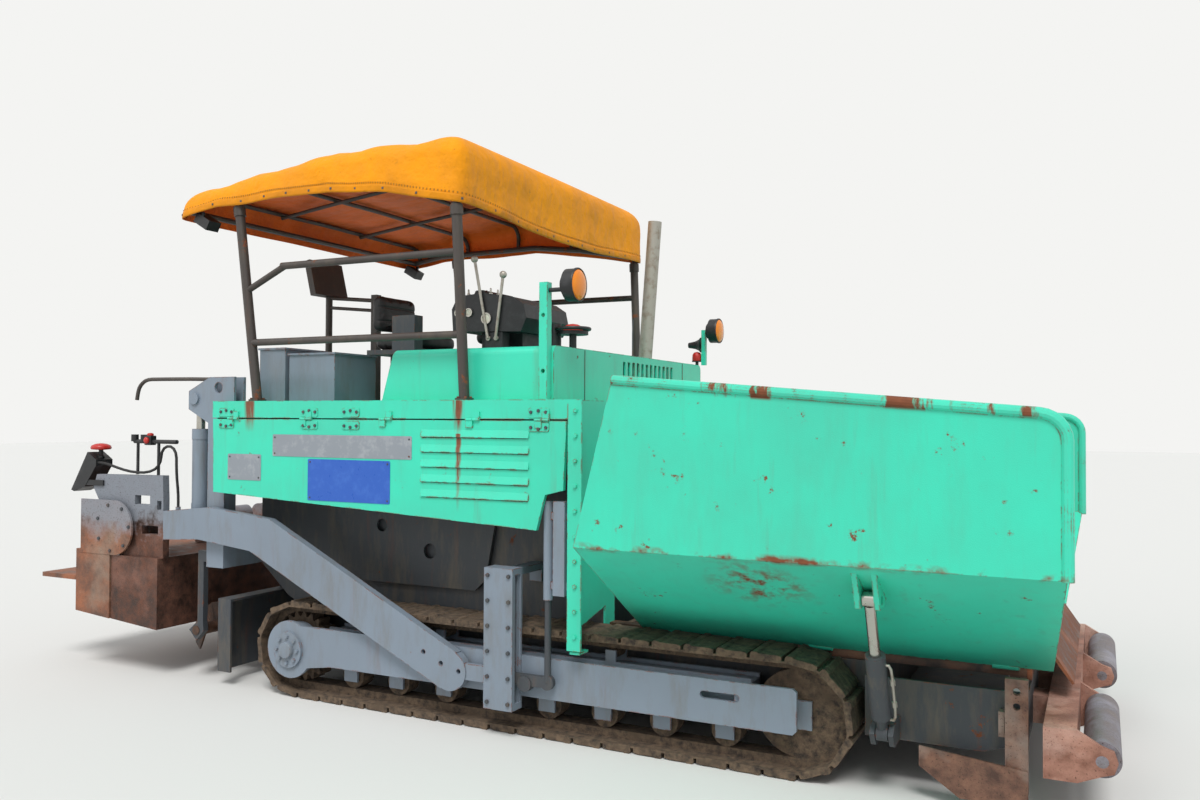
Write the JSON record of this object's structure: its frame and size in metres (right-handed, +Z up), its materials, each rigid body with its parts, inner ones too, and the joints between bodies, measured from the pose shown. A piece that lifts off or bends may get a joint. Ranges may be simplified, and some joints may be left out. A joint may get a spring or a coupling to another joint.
{
  "type": "tracked asphalt paver",
  "caption": "Crawler road paver with a front hopper with tipping wings, an operator deck under a canopy, spreading augers and a raised extending screed.",
  "frame": {"origin": "on the ground at the middle of the overall length and width", "axes": "+X forward over the hopper, +Y to the machine's left side, +Z up"},
  "size_m": [6.84, 3.274, 3.3702],
  "materials": {
    "mint_paint": "semi-gloss, weathered",
    "grey_paint": "satin, scuffed",
    "dark_frame": "satin, oily",
    "rusty_steel": "rusted",
    "track_steel": "worn, dusty",
    "rod_chrome": "polished",
    "pipe_steel": "weathered",
    "tarpaulin": "coated weave",
    "seat_vinyl": "matt",
    "black_plastic": "textured",
    "lamp_amber": "glossy",
    "hose_rubber": "matt"
  },
  "bodies": {
    "root": {"chassis": "dark_frame", "front_frame": "dark_frame", "hopper_floor": "rusty_steel", "conveyors": "track_steel", "engine_block": "dark_frame", "body_shell": "mint_paint", "front_bulkhead": "mint_paint", "engine_hood": "mint_paint", "track_frames": "grey_paint", "track_right": "track_steel", "track_left": "track_steel", "track_wheels": "track_steel", "push_beam": "rusty_steel", "apron": "rusty_steel", "ploughs": "grey_paint", "canopy_frame": "dark_frame", "canopy_hoops": "dark_frame", "canopy_cover": "tarpaulin", "exhaust_pipe": "pipe_steel", "operator_console": "black_plastic", "control_levers": "pipe_steel", "seat_frames": "dark_frame", "seat_cushions": "seat_vinyl", "deck_lockers": "grey_paint", "display_arm": "dark_frame", "work_lamps": "lamp_amber", "lamp_posts": "mint_paint", "corner_lamps": "black_plastic", "tow_guides": "grey_paint", "level_barrels": "grey_paint", "rear_towers": "grey_paint", "retaining_plate": "dark_frame", "auger_hanger": "dark_frame"},
    "side_door_right": {"side_door_right": "mint_paint"},
    "wing_right": {"wing_right": "mint_paint"},
    "wing_barrel_right": {"wing_barrel_right": "dark_frame"},
    "wing_rod_right": {"wing_rod_right": "rod_chrome"},
    "push_roller_right": {"push_roller_right": "rusty_steel"},
    "auger_right": {"auger_right": "rusty_steel"},
    "tow_slide_right": {"tow_slide_right": "dark_frame"},
    "lift_barrel_right": {"lift_barrel_right": "grey_paint"},
    "lift_rod_right": {"lift_rod_right": "rod_chrome"},
    "screed_extension_right": {"screed_extension_right": "rusty_steel"},
    "side_door_left": {"side_door_left": "mint_paint"},
    "wing_left": {"wing_left": "mint_paint"},
    "wing_barrel_left": {"wing_barrel_left": "dark_frame"},
    "wing_rod_left": {"wing_rod_left": "rod_chrome"},
    "push_roller_left": {"push_roller_left": "rusty_steel"},
    "auger_left": {"auger_left": "rusty_steel"},
    "tow_slide_left": {"tow_slide_left": "dark_frame"},
    "lift_barrel_left": {"lift_barrel_left": "grey_paint"},
    "lift_rod_left": {"lift_rod_left": "rod_chrome"},
    "screed_extension_left": {"screed_extension_left": "rusty_steel"},
    "screed": {"tow_arms": "grey_paint", "screed_body": "rusty_steel", "screed_controls": "black_plastic", "control_hose": "hose_rubber"}
  },
  "joints": [
    {"name": "side_door_right_hinge", "type": "hinge", "parent": "root", "child": "side_door_right", "pos_m": [0, -1.257, 1.731], "axis": [-1, 0, 0], "range_deg": [0, 75]},
    {"name": "wing_right_hinge", "type": "hinge", "parent": "root", "child": "wing_right", "pos_m": [1.07, -0.78, 0.588], "axis": [-1, 0, 0], "range_deg": [0, 32]},
    {"name": "wing_barrel_right_pivot", "type": "hinge", "parent": "root", "child": "wing_barrel_right", "pos_m": [2.44, -1.15, 0.3], "axis": [-1, 0, 0], "range_deg": [0, 25.38]},
    {"name": "wing_rod_right_slide", "type": "slide", "parent": "wing_barrel_right", "child": "wing_rod_right", "axis": [0, -0.4138, 0.9104], "range_m": [0, 0.23854]},
    {"name": "push_roller_right_spin", "type": "hinge", "parent": "root", "child": "push_roller_right", "pos_m": [3.345, 0, 0.331], "axis": [0, 1, 0], "continuous": true},
    {"name": "auger_right_spin", "type": "hinge", "parent": "root", "child": "auger_right", "pos_m": [-1.99, 0, 0.335], "axis": [0, 1, 0], "continuous": true},
    {"name": "tow_slide_right_lift", "type": "slide", "parent": "root", "child": "tow_slide_right", "axis": [0, 0, 1], "range_m": [-0.045, 0.06]},
    {"name": "side_door_left_hinge", "type": "hinge", "parent": "root", "child": "side_door_left", "pos_m": [0, 1.257, 1.731], "axis": [1, 0, 0], "range_deg": [0, 75]},
    {"name": "wing_left_hinge", "type": "hinge", "parent": "root", "child": "wing_left", "pos_m": [1.07, 0.78, 0.588], "axis": [1, 0, 0], "range_deg": [0, 32]},
    {"name": "wing_barrel_left_pivot", "type": "hinge", "parent": "root", "child": "wing_barrel_left", "pos_m": [2.44, 1.15, 0.3], "axis": [1, 0, 0], "range_deg": [0, 25.38]},
    {"name": "wing_rod_left_slide", "type": "slide", "parent": "wing_barrel_left", "child": "wing_rod_left", "axis": [0, 0.4138, 0.9104], "range_m": [0, 0.23854]},
    {"name": "push_roller_left_spin", "type": "hinge", "parent": "root", "child": "push_roller_left", "pos_m": [3.345, 0, 0.331], "axis": [0, 1, 0], "continuous": true},
    {"name": "auger_left_spin", "type": "hinge", "parent": "root", "child": "auger_left", "pos_m": [-1.99, 0, 0.335], "axis": [0, 1, 0], "continuous": true},
    {"name": "tow_slide_left_lift", "type": "slide", "parent": "root", "child": "tow_slide_left", "axis": [0, 0, 1], "range_m": [-0.045, 0.06]},
    {"name": "screed_lift", "type": "hinge", "parent": "tow_slide_right", "child": "screed", "pos_m": [0.418, 0, 0.33], "axis": [0, 1, 0], "range_deg": [-5.5, 0]},
    {"name": "lift_barrel_right_pivot", "type": "hinge", "parent": "screed", "child": "lift_barrel_right", "pos_m": [-2.01, -1.1, 1.06], "axis": [0, 1, 0], "range_deg": [0, 9.75]},
    {"name": "lift_rod_right_slide", "type": "slide", "parent": "lift_barrel_right", "child": "lift_rod_right", "axis": [0, 0, 1], "range_m": [0, 0.24274]},
    {"name": "extension_right_slide", "type": "slide", "parent": "screed", "child": "screed_extension_right", "axis": [0, -1, 0], "range_m": [0, 0.9]},
    {"name": "lift_barrel_left_pivot", "type": "hinge", "parent": "screed", "child": "lift_barrel_left", "pos_m": [-2.01, 1.1, 1.06], "axis": [0, 1, 0], "range_deg": [0, 9.75]},
    {"name": "lift_rod_left_slide", "type": "slide", "parent": "lift_barrel_left", "child": "lift_rod_left", "axis": [0, 0, 1], "range_m": [0, 0.24274]},
    {"name": "extension_left_slide", "type": "slide", "parent": "screed", "child": "screed_extension_left", "axis": [0, 1, 0], "range_m": [0, 0.9]}
  ],
  "couplings": [
    {"joint": "wing_barrel_right_pivot", "follows": "wing_right_hinge", "ratio": 0.76189},
    {"joint": "wing_rod_right_slide", "follows": "wing_right_hinge", "m_per_rad": 0.41815},
    {"joint": "wing_barrel_left_pivot", "follows": "wing_left_hinge", "ratio": 0.76189},
    {"joint": "wing_rod_left_slide", "follows": "wing_left_hinge", "m_per_rad": 0.41815},
    {"joint": "tow_slide_left_lift", "follows": "tow_slide_right_lift", "ratio": 1},
    {"joint": "lift_barrel_right_pivot", "follows": "screed_lift", "ratio": -1.5905},
    {"joint": "lift_rod_right_slide", "follows": "screed_lift", "m_per_rad": -2.4766},
    {"joint": "lift_barrel_left_pivot", "follows": "screed_lift", "ratio": -1.5905},
    {"joint": "lift_rod_left_slide", "follows": "screed_lift", "m_per_rad": -2.4766}
  ]
}
